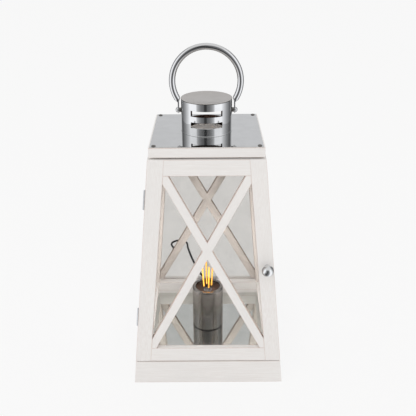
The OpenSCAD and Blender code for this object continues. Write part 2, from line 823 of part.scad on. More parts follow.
module sill_slope() {
    start_y = pane_inner_depth - half_at(sill_lip_z);
    back_y = door_t - half_at(sill_lip_z) + 2;
    fall = sill_fall * (back_y - start_y) / (door_t - pane_inner_depth);
    rotate([90, 0, 90]) translate([0, 0, -half_w]) linear_extrude(base_w)
        polygon([
            [start_y - glass_t / 2, sill_lip_z], [start_y, sill_lip_z], [back_y, sill_lip_z - fall],
            [back_y, door_opening_low_z + 2], [start_y - glass_t / 2, door_opening_low_z + 2]
        ]);
}
module door_braces()
    color(wood_color) crossed_strips(stile_w, stile_w, door_opening_low_z, door_opening_top_z);
module door_pane() color(glass_color, 0.3) door_groove();

// A ball on a short neck, held by a screw from the back of the stile
module door_knob()
    color("#C4C7CA") into_front(knob_x, knob_z, 0) rotate([180, 0, 0]) difference() {
        union() {
            cylinder(r = 5, h = 1.4);
            cylinder(r = 3.4, h = 6);
            translate([0, 0, knob_reach]) sphere(d = knob_d);
        }
        translate([0, 0, -1]) cylinder(r = knob_screw_r, h = knob_screw_in + 1);
    }
module knob_screw()
    color("#A2A4A5") into_front(knob_x, knob_z, 0) {
        translate([0, 0, -knob_screw_in]) cylinder(r = knob_screw_r, h = door_depth + knob_screw_in);
        translate([0, 0, door_depth - knob_head_t]) cylinder(r = knob_head_r, h = knob_head_t);
    }

plinth_front();
plinth_back();
plinth_left();
plinth_right();
base_board();
floor_battens();
floor_board();
floor_mirror();
post_front_left();
post_front_right();
post_back_left();
post_back_right();
rail_back_low();
rail_back_high();
rails_left();
rails_right();
braces_back();
braces_left();
braces_right();
pane_back();
pane_left();
pane_right();
roof_board();
roof_plate();
roof_screws();
chimney();
chimney_cap();
ring_rivets();
ring_spacers();
lamp_cup();
lamp_holder();
lamp_nipple();
nipple_nuts();
inner_lead();
lead_relief();
lead_loop();
lead_coil();
lead_tail();
plug_body();
plug_pins();
catch_magnet();
hinge_frame_leaves();
hinge_frame_screws();
hinge_pins();
door_stile_left();
door_stile_right();
door_rail_top();
door_rail_low();
door_braces();
door_pane();
door_knob();
knob_screw();
strike_plate();
hinge_door_leaves();
hinge_door_screws();
carrying_ring();
bulb_cap();
bulb_glass();
bulb_stem();
bulb_filaments();
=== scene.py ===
"""Looks of the lantern table lamp: its materials, the detailed metal, glass and plastic pieces, the
mains lead, the studio and the camera. Shapes are written in millimetres, and MM makes metres of them."""

import math

import bpy
from mathutils import Matrix, Vector


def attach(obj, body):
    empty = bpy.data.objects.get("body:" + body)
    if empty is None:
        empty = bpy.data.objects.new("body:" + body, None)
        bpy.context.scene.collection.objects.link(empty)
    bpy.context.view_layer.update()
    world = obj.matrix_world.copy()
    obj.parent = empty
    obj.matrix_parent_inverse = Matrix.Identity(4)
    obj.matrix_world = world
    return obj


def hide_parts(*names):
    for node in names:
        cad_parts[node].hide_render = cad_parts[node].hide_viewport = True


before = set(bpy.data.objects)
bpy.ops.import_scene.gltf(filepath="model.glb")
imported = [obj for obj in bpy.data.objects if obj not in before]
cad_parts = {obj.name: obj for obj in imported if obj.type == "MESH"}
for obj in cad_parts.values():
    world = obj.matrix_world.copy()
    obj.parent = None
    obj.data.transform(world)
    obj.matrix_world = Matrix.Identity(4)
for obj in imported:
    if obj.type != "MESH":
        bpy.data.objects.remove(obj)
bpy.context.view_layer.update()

MM = 0.001
Z_AXIS = Vector((0, 0, 1))
SHARP_ANGLE = math.radians(32)

# Sizes of the CAD model that the pieces and the grain need, in millimetres
BASE_HALF, LEAN = 120, 0.0927
LEAN_ANGLE = math.atan(LEAN)
DOOR_OPENING = (24, 24, 63.9, 350)
SIDE_OPENING = (41.3, 22.5, 57.4, 352)
BACK_OPENING = (22.5, 22.5, 57.4, 352)
BRACE_HALF = 6.5
PLATE_TOP, CHIMNEY_R, CHIMNEY_TOP, CHIMNEY_WALL = 391.8, 38.5, 440.8, 1.2
SLOT_MID_ZS, SLOT_H, SLOT_ANGLE = (408.4, 425.9), 8.6, 37
RING_Z, RING_R, RING_BAR_R, RING_END, PIVOT_Z = 466.5, 51, 4.7, 30, 423
TAB_X, TAB_HALF_T, TAB_HALF_W, TAB_TOP = 42.5, 0.9, 5, 435
FLOOR_TOP, CUP_R, CUP_TOP, CUP_MOUTH_R, CUP_WALL = 32.4, 26.4, 109.6, 20.7, 0.8
BULB_SEAT, BULB_LEN, BULB_R, BULB_NECK_R = 101.2, 74, 17.5, 7.6
KNOB_Z, KNOB_R, KNOB_REACH = 205, 9, 12.5
KNOB_X = BASE_HALF - LEAN * KNOB_Z - 10.5
LEAD_D = 4.2
LAY = 2.2


# ---- Materials ----


def paint(red, green, blue):
    """A display colour, 0 to 255, as the linear colour that shaders take."""
    parts = (red / 255, green / 255, blue / 255)
    return (*(c / 12.92 if c <= 0.04045 else ((c + 0.055) / 1.055) ** 2.4 for c in parts), 1.0)


class Finish:
    """A material under construction: a Principled shader and short calls for the nodes that feed it."""

    def __init__(self, name, **values):
        self.material = bpy.data.materials.new(name)
        self.material.use_nodes = True
        self.tree = self.material.node_tree
        self.shader = self.tree.nodes["Principled BSDF"]
        self.output = self.tree.nodes["Material Output"]
        self.place = self.add("ShaderNodeTexCoord").outputs["Object"]
        for key, value in values.items():
            self.shader.inputs[key].default_value = value

    def add(self, kind, **settings):
        node = self.tree.nodes.new(kind)
        for key, value in settings.items():
            setattr(node, key, value)
        return node

    def feed(self, socket, value):
        if isinstance(value, bpy.types.NodeSocket):
            self.tree.links.new(value, socket)
        else:
            socket.default_value = value

    def math(self, operation, a, b=0.0, clamp=False):
        node = self.add("ShaderNodeMath", operation=operation, use_clamp=clamp)
        self.feed(node.inputs[0], a)
        self.feed(node.inputs[1], b)
        return node.outputs[0]

    def vector(self, operation, a, b=(0, 0, 0), scale=None, output="Vector"):
        node = self.add("ShaderNodeVectorMath", operation=operation)
        self.feed(node.inputs[0], a)
        self.feed(node.inputs[1], b)
        if scale is not None:
            self.feed(node.inputs["Scale"], scale)
        return node.outputs[output]

    def noise(self, place, scale, detail=3.0, roughness=0.55, distortion=0.0):
        node = self.add("ShaderNodeTexNoise")
        self.feed(node.inputs["Vector"], place)
        node.inputs["Scale"].default_value = scale
        node.inputs["Detail"].default_value = detail
        node.inputs["Roughness"].default_value = roughness
        node.inputs["Distortion"].default_value = distortion
        return node.outputs["Fac"]

    def spread(self, factor, low, high, to_low, to_high):
        node = self.add("ShaderNodeMapRange", clamp=True)
        for i, value in enumerate((factor, low, high, to_low, to_high)):
            self.feed(node.inputs[i], value)
        return node.outputs[0]

    def blend(self, factor, a, b, kind="MIX"):
        node = self.add("ShaderNodeMix", data_type="RGBA", blend_type=kind)
        self.feed(node.inputs["Factor"], factor)
        self.feed(node.inputs[6], a)
        self.feed(node.inputs[7], b)
        return node.outputs[2]

    def along(self, direction, share):
        """The place with distances along the direction shrunk to a share, so that noise runs along it."""
        way = Vector(direction).normalized()
        distance = self.vector("DOT_PRODUCT", self.place, way, output="Value")
        cut = self.vector("SCALE", way, scale=self.math("MULTIPLY", distance, 1 - share))
        return self.vector("SUBTRACT", self.place, cut)

    def worn_edges(self, radius, grain=None):
        """About 1 on convex and concave edges and 0 on flat faces and on the ends of the grain."""
        bevel = self.add("ShaderNodeBevel", samples=6)
        bevel.inputs["Radius"].default_value = radius
        normal = self.add("ShaderNodeNewGeometry").outputs["Normal"]
        same = self.vector("DOT_PRODUCT", bevel.outputs["Normal"], normal, output="Value")
        worn = self.spread(same, 0.99, 0.8, 0.0, 1.0)
        if grain is None:
            return worn
        along_grain = self.vector("DOT_PRODUCT", bevel.outputs["Normal"], grain, output="Value")
        off_ends = self.spread(self.math("ABSOLUTE", along_grain), 0.1, 0.35, 1.0, 0.0)
        return self.math("MULTIPLY", worn, off_ends)

    def bump(self, height, distance, strength=1.0):
        node = self.add("ShaderNodeBump")
        node.inputs["Strength"].default_value = strength
        node.inputs["Distance"].default_value = distance
        self.feed(node.inputs["Height"], height)
        self.feed(self.shader.inputs["Normal"], node.outputs["Normal"])

    def set(self, socket, value):
        self.feed(self.shader.inputs[socket], value)


# How often fine grain, broad bands and clouds in the paint repeat, per metre across the grain
FINE_GRAIN, BROAD_GRAIN, PAINT_CLOUDS = 1100, 230, 16
# How much of the paint is worn off the edges, how strongly the cut sides are tinted towards the edge colour,
# and how far from an edge wear reaches
EDGE_SHARE, SIDE_SHARE, WEAR_REACH = 0.95, 0.55, 0.0016
# Grain is drawn out along the wood by shrinking lengths to this share
GRAIN_STRETCH = 0.03
# Light paint, dark paint and worn edge outside the lantern, and inside it a darker, pinker copy of the three
# that is painted shade
WASH = (paint(237, 235, 233), paint(229, 225, 222), paint(196, 164, 146))
SHADED_INNER_WASH = (paint(222, 215, 209), paint(208, 199, 192), paint(172, 144, 130))


def grained_paint(finish, grain, inside, sides=None, ends=None):
    """Whitewash over planed softwood: grain streaks, cloudy coverage, thin paint on edges, cut sides tinted
    towards the edge colour, and inside the lantern a darker copy that is painted shade.
    """
    # Painted shade: members inside the lantern take a darker, pinker copy of the wash for the shade there
    light, dark, edge = SHADED_INNER_WASH if inside else WASH
    fine = finish.noise(grain, FINE_GRAIN, 5, 0.62, 0.3)
    bands = finish.noise(grain, BROAD_GRAIN, 3, 0.5, 0.6)
    cloud = finish.noise(finish.place, PAINT_CLOUDS, 2, 0.5)
    base = finish.blend(finish.spread(fine, 0.36, 0.62, 0.0, 1.0), dark, light)
    base = finish.blend(finish.spread(bands, 0.3, 0.48, 0.45, 0.0), base, dark)
    pale = tuple(0.93 * c for c in light[:3]) + (1.0,)
    base = finish.blend(finish.spread(cloud, 0.35, 0.65, 0.5, 0.0), base, pale)
    share = finish.spread(bands, 0.3, 0.6, EDGE_SHARE, 0.7 * EDGE_SHARE)
    wear = finish.math("MULTIPLY", finish.worn_edges(WEAR_REACH, ends), share)
    if sides is not None:
        wear = finish.math("MAXIMUM", wear, sides)
    finish.set("Base Color", finish.blend(wear, base, edge))
    finish.set("Roughness", finish.spread(fine, 0.3, 0.7, 0.68, 0.52))
    height = finish.math("ADD", finish.math("MULTIPLY", fine, 0.6), finish.math("MULTIPLY", bands, 0.5))
    finish.bump(height, 0.00035, 0.45)


def painted_wood(name, direction, inside=False):
    """Whitewashed wood whose grain runs along the direction."""
    finish = Finish(name, **{"Specular IOR Level": 0.35})
    grained_paint(finish, finish.along(direction, GRAIN_STRETCH), inside, ends=Vector(direction))
    return finish.material


def half_at(z):
    return BASE_HALF - LEAN * z


def crossed_wood(name, across, opening, inside=False):
    """The same paint on two crossed strips, with the grain of each strip along it."""
    left_in, right_in, low, high = opening
    across = Vector(across)
    rising_from, rising_to = left_in - half_at(low), half_at(high) - right_in
    falling_from, falling_to = half_at(low) - right_in, left_in - half_at(high)
    rising = across * (rising_to - rising_from) + Z_AXIS * (high - low)
    falling = across * (falling_to - falling_from) + Z_AXIS * (high - low)
    square = (Z_AXIS * (rising_to - rising_from) - across * (high - low)).normalized()
    start = (across * rising_from + Z_AXIS * low) * MM
    finish = Finish(name, **{"Specular IOR Level": 0.35})
    from_start = finish.vector("SUBTRACT", finish.place, start)
    off = finish.vector("DOT_PRODUCT", from_start, square, output="Value")
    on_rising = finish.math("LESS_THAN", finish.math("ABSOLUTE", off), BRACE_HALF * MM)
    mixer = finish.add("ShaderNodeMix", data_type="VECTOR")
    finish.feed(mixer.inputs["Factor"], on_rising)
    finish.feed(mixer.inputs[4], finish.along(falling, GRAIN_STRETCH))
    finish.feed(mixer.inputs[5], finish.along(rising, GRAIN_STRETCH))
    facing = finish.add("ShaderNodeTexCoord").outputs["Normal"]
    frontal = finish.vector("DOT_PRODUCT", facing, across.cross(Z_AXIS), output="Value")
    cut_sides = finish.spread(finish.math("ABSOLUTE", frontal), 0.3, 0.6, SIDE_SHARE, 0.0)
    grained_paint(finish, mixer.outputs[1], inside, cut_sides)
    return finish.material


LATE_WOOD, EARLY_WOOD, PORE_WOOD = paint(176, 140, 98), paint(204, 172, 128), paint(140, 104, 68)


def bare_wood(name, direction):
    """Unpainted board with rings and pores along the direction."""
    finish = Finish(name)
    grain = finish.along(direction, 0.04)
    rings = finish.noise(grain, 180, 4, 0.6, 0.8)
    pores = finish.noise(grain, 1500, 3, 0.6)
    base = finish.blend(finish.spread(rings, 0.35, 0.65, 0.0, 1.0), LATE_WOOD, EARLY_WOOD)
    finish.set("Base Color", finish.blend(finish.spread(pores, 0.3, 0.42, 0.35, 0.0), base, PORE_WOOD))
    finish.set("Roughness", finish.spread(pores, 0.3, 0.7, 0.8, 0.62))
    finish.bump(pores, 0.0003, 0.4)
    return finish.material


# Painted shadow: the near-black colour of the shadow line at the bottom of the cup, and the height over which
# it fades
FOOT_SHADOW_COLOUR = (0.03, 0.028, 0.027, 1)
FOOT_SHADOW_FADE = 0.0006


def metal(name, colour, smooth, rough, grain=None, scratch=0.25, waviness=0.0, marks=0.05, streak=0.0,
          side_shade=None, shaded_below=None):
    """Plated or polished metal: cloudy roughness, hairline marks, and a slow waviness on thin sheet.
    A streak draws reflections out along Z on round walls. The colour given for sideways faces is painted
    shade that darkens faces which look sideways, and under the given height the metal carries a painted
    shadow that darkens it to near black."""
    finish = Finish(name, Metallic=1.0)
    lines = finish.noise(finish.along(grain, 0.02) if grain else finish.place, 1800, 3, 0.6)
    haze = finish.noise(finish.place, 45, 3, 0.6)
    dark = tuple(0.88 * c for c in colour[:3]) + (1.0,)
    base = finish.blend(finish.spread(haze, 0.35, 0.65, 0.0, 0.5), colour, dark)
    # Painted shade: faces that look sideways are darkened towards the given colour
    if side_shade:
        facing = finish.add("ShaderNodeTexCoord").outputs["Normal"]
        upward = finish.vector("DOT_PRODUCT", facing, Z_AXIS, output="Value")
        base = finish.blend(finish.spread(upward, 0.3, 0.85, 1.0, 0.0), base, side_shade)
    # Painted shadow: below the given height the metal is darkened to near black
    if shaded_below:
        height = finish.vector("DOT_PRODUCT", finish.place, Z_AXIS, output="Value")
        base = finish.blend(finish.spread(height, shaded_below, shaded_below + FOOT_SHADOW_FADE, 1.0, 0.0), base, FOOT_SHADOW_COLOUR)
    finish.set("Base Color", base)
    if streak:
        finish.set("Anisotropic", streak)
        finish.set("Anisotropic Rotation", 0.25)
        finish.set("Tangent", finish.add("ShaderNodeTangent", direction_type="RADIAL", axis="Z").outputs[0])
    hazed, scratched = finish.math("MULTIPLY", haze, 1 - scratch), finish.math("MULTIPLY", lines, scratch)
    mix = finish.math("ADD", hazed, scratched)
    finish.set("Roughness", finish.spread(mix, 0.35, 0.65, smooth, rough))
    height = finish.math("MULTIPLY", lines, marks)
    if waviness:
        wave = finish.noise(finish.place, 14, 1, 0.4)
        height = finish.math("ADD", height, finish.math("MULTIPLY", wave, waviness))
    finish.bump(height, 0.0004, 0.3)
    return finish.material


def clear_glass(name, tint, shine):
    """Sheet glass that shows straight what is behind it, with a reflection that grows towards grazing."""
    finish = Finish(name)
    smudge = finish.noise(finish.place, 22, 3, 0.6)
    through = finish.add("ShaderNodeBsdfTransparent")
    thick = tuple(0.975 * c for c in tint[:3]) + (1.0,)
    tinted = finish.blend(finish.spread(smudge, 0.4, 0.7, 0.0, 1.0), tint, thick)
    sight = finish.add("ShaderNodeLightPath").outputs["Is Camera Ray"]
    finish.feed(through.inputs["Color"], finish.blend(sight, (0.985, 0.985, 0.985, 1), tinted))
    gloss = finish.add("ShaderNodeBsdfGlossy")
    finish.feed(gloss.inputs["Roughness"], finish.spread(smudge, 0.35, 0.7, 0.01, 0.05))
    fresnel = finish.add("ShaderNodeFresnel")
    fresnel.inputs["IOR"].default_value = 1.5
    front = finish.math("SUBTRACT", 1.0, finish.add("ShaderNodeNewGeometry").outputs["Backfacing"])
    share = finish.math("MULTIPLY", finish.math("MULTIPLY", fresnel.outputs[0], front), shine)
    both = finish.add("ShaderNodeMixShader")
    finish.feed(both.inputs[0], share)
    finish.feed(both.inputs[1], through.outputs[0])
    finish.feed(both.inputs[2], gloss.outputs[0])
    finish.tree.nodes.remove(finish.shader)
    finish.feed(finish.output.inputs["Surface"], both.outputs[0])
    return finish.material


def moulded(name, colour, smooth, rough, pitch=900):
    """Moulded plastic or rubber: fine spark texture, slightly uneven gloss, greyer on the edges."""
    finish = Finish(name)
    pebble = finish.noise(finish.place, pitch, 3, 0.6)
    haze = finish.noise(finish.place, 60, 2, 0.5)
    grey = tuple(1.6 * c + 0.008 for c in colour[:3]) + (1.0,)
    base = finish.blend(finish.spread(haze, 0.35, 0.7, 0.0, 0.35), colour, grey)
    wear = finish.math("MULTIPLY", finish.worn_edges(0.0006), 0.4)
    finish.set("Base Color", finish.blend(wear, base, grey))
    finish.set("Roughness", finish.spread(haze, 0.3, 0.7, smooth, rough))
    finish.bump(pebble, 0.0002, 0.35)
    return finish.material


COAT_DARK, COAT_GLOW = paint(196, 116, 30), paint(214, 128, 34)


def glowing(name, colour, glow):
    """A coated filament rod, brighter in bands along its length."""
    finish = Finish(name, Roughness=0.5)
    bands = finish.noise(finish.along(Z_AXIS, 0.6), 420, 2, 0.5)
    base_share = finish.spread(bands, 0.4, 0.6, 0.0, 0.5)
    glow_share = finish.spread(bands, 0.4, 0.6, 0.0, 0.6)
    finish.set("Base Color", finish.blend(base_share, colour, COAT_DARK))
    finish.set("Emission Color", finish.blend(glow_share, colour, COAT_GLOW))
    finish.shader.inputs["Emission Strength"].default_value = glow
    finish.bump(bands, 0.0003, 0.5)
    return finish.material


X, Y = (1, 0, 0), (0, 1, 0)
wood_x = painted_wood("wood_x", X)
wood_y = painted_wood("wood_y", Y)
wood_up = painted_wood("wood_up", Z_AXIS)
# Painted shade: darker copies of the wash for the back posts and back rail, which sit in shade inside the
# lantern
wood_shaded_inner_x = painted_wood("wood_shaded_inner_x", X, inside=True)
wood_shaded_inner_up = painted_wood("wood_shaded_inner_up", Z_AXIS, inside=True)
boards = bare_wood("bare_boards", X)
battens = bare_wood("bare_battens", Y)
chrome = metal("chrome", (0.74, 0.745, 0.75, 1), 0.03, 0.07)
ring_chrome = metal("ring_chrome", (0.72, 0.72, 0.725, 1), 0.05, 0.1)
roof_steel = metal("roof_steel", (0.71, 0.712, 0.708, 1), 0.03, 0.05, X, scratch=0.1, waviness=0.008,
                   marks=0.01)
# Painted shade: a dark brown metal for the chimney wall's inner faces, standing in for the shade inside the
# chimney
shaded_inner_steel = metal("shaded_inner_steel", (0.15, 0.09, 0.07, 1), 0.4, 0.6)
# The cap's sideways faces carry painted shade, the dark line under its edge
cap_steel = metal("cap_steel", (0.575, 0.545, 0.515, 1), 0.3, 0.33, X, scratch=0.3, marks=0.004,
                  side_shade=(0.1, 0.095, 0.09, 1))
# The cup's lowest 1.4 mm carry the painted shadow line where it stands on the mirror
cup_chrome = metal("cup_chrome", (0.36, 0.345, 0.33, 1), 0.14, 0.16, Z_AXIS, scratch=0.2, marks=0.002,
                   streak=1.0, shaded_below=0.0338)
zinc = metal("zinc", (0.62, 0.63, 0.64, 1), 0.2, 0.38, Z_AXIS, scratch=0.4)
dark_steel = metal("dark_steel", (0.2, 0.19, 0.18, 1), 0.25, 0.4)
brass = metal("brass", (0.72, 0.5, 0.22, 1), 0.15, 0.3)
mirror = metal("mirror", (0.76, 0.775, 0.75, 1), 0.01, 0.02, scratch=0.2, waviness=0.05)
pane_glass = clear_glass("pane_glass", (0.915, 0.91, 0.902, 1), 0.9)
bulb_clear = clear_glass("bulb_clear", (0.975, 0.98, 0.98, 1), 1.0)
black_rubber = moulded("black_rubber", paint(24, 24, 25), 0.5, 0.62)
black_plastic = moulded("black_plastic", paint(27, 27, 28), 0.32, 0.45, 1400)
lead_black = moulded("lead_black", paint(20, 21, 23), 0.34, 0.48, 1600)
holder_brown = moulded("holder_brown", paint(74, 56, 45), 0.4, 0.55)
amber = glowing("amber", paint(240, 170, 60), 0.6)

NODE_LOOKS = {
    "plinth_front": wood_x, "plinth_back": wood_x, "plinth_left": wood_y, "plinth_right": wood_y,
    "base_board": boards, "floor_battens": battens, "floor_board": boards, "floor_mirror": mirror,
    "post_front_left": wood_up, "post_front_right": wood_up,
    # The back posts, the high back rail and the back strips get the painted-shade wood
    "post_back_left": wood_shaded_inner_up, "post_back_right": wood_shaded_inner_up,
    "rail_back_low": wood_x, "rail_back_high": wood_shaded_inner_x, "rails_left": wood_y, "rails_right": wood_y,
    "braces_back": crossed_wood("strips_back", (-1, 0, 0), BACK_OPENING, inside=True),
    "braces_left": crossed_wood("strips_left", Y, SIDE_OPENING),
    "braces_right": crossed_wood("strips_right", Y, SIDE_OPENING),
    "pane_back": pane_glass, "pane_left": pane_glass, "pane_right": pane_glass, "door_pane": pane_glass,
    "roof_board": wood_x, "roof_plate": roof_steel, "ring_spacers": dark_steel,
    "lamp_holder": holder_brown, "lamp_nipple": brass, "nipple_nuts": zinc, "inner_lead": lead_black,
    "plug_pins": zinc, "catch_magnet": zinc, "hinge_frame_leaves": zinc, "hinge_frame_screws": zinc,
    "hinge_pins": zinc, "door_stile_left": wood_up, "door_stile_right": wood_up, "door_rail_top": wood_x,
    "door_rail_low": wood_x, "door_braces": crossed_wood("strips_door", X, DOOR_OPENING),
    "knob_screw": zinc, "strike_plate": zinc, "hinge_door_leaves": zinc, "hinge_door_screws": zinc,
    "bulb_cap": zinc, "bulb_stem": bulb_clear, "bulb_filaments": amber,
}
WOODEN = ("plinth", "post", "rail", "braces", "door_stile", "door_rail", "door_braces", "roof_board")
FLAT = ("roof_plate", "floor", "base_board")
WOOD_EDGE, PLATE_EDGE = 0.3, 0.1


def dress(node, material):
    """Gives a CAD node its material; flat-sided nodes get softly broken edges, round ones smooth faces."""
    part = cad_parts[node]
    part.data.materials.clear()
    part.data.materials.append(material)
    weld = part.modifiers.new("weld", "WELD")
    weld.merge_threshold = 1e-5
    if node.startswith(WOODEN + FLAT):
        part.data.shade_flat()
        bevel = part.modifiers.new("edges", "BEVEL")
        bevel.width = (WOOD_EDGE if node.startswith(WOODEN) else PLATE_EDGE) * MM
        bevel.segments = 2
        bevel.limit_method = "ANGLE"
        bevel.angle_limit = math.radians(40)
        return
    part.data.shade_smooth()
    crease = part.modifiers.new("crease", "EDGE_SPLIT")
    crease.split_angle = SHARP_ANGLE


for node_name, look in NODE_LOOKS.items():
    dress(node_name, look)


# ---- Shapes of the detailed pieces ----


def made(name, points, faces, material, body, nodes=(), slot=None, place=None):
    """Adds a piece from points in millimetres, riding on a body and standing for CAD nodes."""
    mesh = bpy.data.meshes.new(name)
    matrix = place or Matrix.Identity(4)
    mesh.from_pydata([(matrix @ Vector(p)) * MM for p in points], [], faces)
    mesh.validate()
    mesh.shade_smooth()
    mesh.set_sharp_from_angle(angle=SHARP_ANGLE)
    mesh.materials.append(material)
    piece = bpy.data.objects.new(name, mesh)
    bpy.context.scene.collection.objects.link(piece)
    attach(piece, body)
    if nodes:
        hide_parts(*nodes)
    return piece


def lathe(profile, steps=96):
    """Points and faces of a profile of (radius, height) turned about the Z axis."""
    points, rings = [], []
    for radius, height in profile:
        if radius < 1e-6:
            rings.append([len(points)] * steps)
            points.append((0, 0, height))
        else:
            rings.append(list(range(len(points), len(points) + steps)))
            for k in range(steps):
                turn = math.tau * k / steps
                points.append((radius * math.cos(turn), radius * math.sin(turn), height))
    faces = []
    for low, high in zip(rings, rings[1:]):
        for k in range(steps):
            corners = [low[k], low[(k + 1) % steps], high[(k + 1) % steps], high[k]]
            face = list(dict.fromkeys(corners))
            if len(face) > 2:
                faces.append(face)
    return points, faces


def arc(centre, radius, start, end, steps):
    """Points of a circle's arc in a profile, angles in degrees."""
    turns = [math.radians(start + (end - start) * k / steps) for k in range(steps + 1)]
    return [(centre[0] + radius * math.cos(t), centre[1] + radius * math.sin(t)) for t in turns]


def loft(sections, steps=40):
    """A skin over rounded sections, each (centre, side, other side, half sizes, squareness)."""
    points, faces = [], []
    for centre, side, other, half_side, half_other, square in sections:
        for k in range(steps):
            c, s = math.cos(math.tau * k / steps), math.sin(math.tau * k / steps)
            a = math.copysign(abs(c) ** (2 / square), c) * half_side
            b = math.copysign(abs(s) ** (2 / square), s) * half_other
            points.append(Vector(centre) + Vector(side) * a + Vector(other) * b)
    for i in range(len(sections) - 1):
        for k in range(steps):
            n = (k + 1) % steps
            faces.append([i * steps + k, i * steps + n, (i + 1) * steps + n, (i + 1) * steps + k])
    last = (len(sections) - 1) * steps
    faces.append(list(range(steps))[::-1])
    faces.append([last + k for k in range(steps)])
    return points, faces


def joined(*shapes):
    """Several (points, faces) shapes as one."""
    points, faces = [], []
    for shape_points, shape_faces in shapes:
        start = len(points)
        points += list(shape_points)
        faces += [[start + i for i in face] for face in shape_faces]
    return points, faces


def moved(shape, matrix):
    return [matrix @ Vector(p) for p in shape[0]], shape[1]


def ease(value, low, high):
    """From 0 at low to 1 at high, level at both ends."""
    share = min(max((value - low) / (high - low), 0.0), 1.0)
    return share * share * (3 - 2 * share)


TO_X = Matrix.Rotation(math.radians(90), 4, "Y")
TO_Y = Matrix.Rotation(math.radians(-90), 4, "X")


# ---- Chimney ----

CHIMNEY_STEPS = 144


def chimney_shell():
    """A cylinder wall with the two pairs of slots left open, front and back."""
    steps, edges = CHIMNEY_STEPS, [PLATE_TOP]
    for mid in SLOT_MID_ZS:
        edges += [mid - SLOT_H / 2, mid + SLOT_H / 2]
    edges.append(CHIMNEY_TOP)
    slot_rows = (1, 3)
    open_columns = {
        k for k in range(steps) if abs(abs((k + 0.5) * 360 / steps - 180) - 90) < SLOT_ANGLE
    }

    def corner(row, column):
        return row * steps + column % steps

    points = [
        (CHIMNEY_R * math.cos(math.tau * k / steps), CHIMNEY_R * math.sin(math.tau * k / steps), z)
        for z in edges
        for k in range(steps)
    ]
    faces = [
        [corner(row, k), corner(row, k + 1), corner(row + 1, k + 1), corner(row + 1, k)]
        for row in range(len(edges) - 1)
        for k in range(steps)
        if not (row in slot_rows and k in open_columns)
    ]
    return points, faces


chimney = made("chimney_shell", *chimney_shell(), chrome, "housing", ["chimney"], "polished_steel")
wall = chimney.modifiers.new("wall", "SOLIDIFY")
wall.thickness = CHIMNEY_WALL * MM
wall.offset = -1
# The inner faces of the wall take the painted-shade metal
chimney.data.materials.append(shaded_inner_steel)
wall.material_offset = 1
wall.material_offset_rim = 0
split = chimney.modifiers.new("crease", "EDGE_SPLIT")
split.split_angle = SHARP_ANGLE
BEAD_R = 0.5
bead = [(CHIMNEY_R - 1, PLATE_TOP)]
bead += arc((CHIMNEY_R, PLATE_TOP + BEAD_R), BEAD_R, -90, 90, 8)
bead.append((CHIMNEY_R - 0.3, PLATE_TOP + 2 * BEAD_R))
made("chimney_foot_bead", *lathe(bead, CHIMNEY_STEPS), chrome, "housing", slot="polished_steel")

CAP_R, CAP_T, CAP_EDGE_R, CAP_DISH, CAP_SKIRT = CHIMNEY_R + 0.4, 1.2, 0.6, 0.25, 3
cap_top, skirt_r = CHIMNEY_TOP + CAP_T, CHIMNEY_R - CHIMNEY_WALL - 0.05
cap = [(0, cap_top - CAP_DISH), (CAP_R - 3, cap_top - CAP_DISH), (CAP_R - 2.2, cap_top)]
cap += arc((CAP_R - CAP_EDGE_R, CHIMNEY_TOP + CAP_EDGE_R), CAP_EDGE_R, 90, -90, 10)
cap += [(skirt_r, CHIMNEY_TOP), (skirt_r, CHIMNEY_TOP - CAP_SKIRT), (0, CHIMNEY_TOP - CAP_SKIRT)]
made("chimney_lid", *lathe(cap[::-1], CHIMNEY_STEPS), cap_steel, "housing", ["chimney_cap"], "polished_steel")

# ---- Roof screws: domed heads with a small recess ----

SCREW_XY, SCREW_R, SCREW_LEN = 76, 1.5, 12
SCREW_HEAD_R, SCREW_HEAD_H, SCREW_RIM = 3.2, 1.6, 0.35
screw = [(0, -SCREW_LEN), (1.1, 1 - SCREW_LEN), (SCREW_R, 3 - SCREW_LEN), (SCREW_R, 0)]
screw += [(SCREW_HEAD_R, 0), (SCREW_HEAD_R, SCREW_RIM)]
for angle in (20, 38, 54, 66):
    turn = math.radians(angle)
    dome_z = SCREW_RIM + (SCREW_HEAD_H - SCREW_RIM) * math.sin(turn)
    screw.append((SCREW_HEAD_R * math.cos(turn), dome_z))
screw += [(0.9, SCREW_HEAD_H - 0.06), (0.35, SCREW_HEAD_H - 0.9), (0, SCREW_HEAD_H - 1.1)]
screw_shapes = [
    moved(lathe(screw, 32), Matrix.Translation((screw_x, screw_y, PLATE_TOP)))
    for screw_x in (-SCREW_XY, SCREW_XY)
    for screw_y in (-SCREW_XY, SCREW_XY)
]
made("roof_screw_heads", *joined(*screw_shapes), dark_steel, "housing", ["roof_screws"], "zinc_steel")

# ---- Carrying ring and its rivets ----

ARC_STEPS, LEG_STEPS = 40, 8
# How far below their tops the tabs' sections lie, and how square they are
TAB_DROPS = (4, 8, 11.9, 13.4, 14.6, 15.6, 16.4, 16.85)
TAB_SQUARE = 7


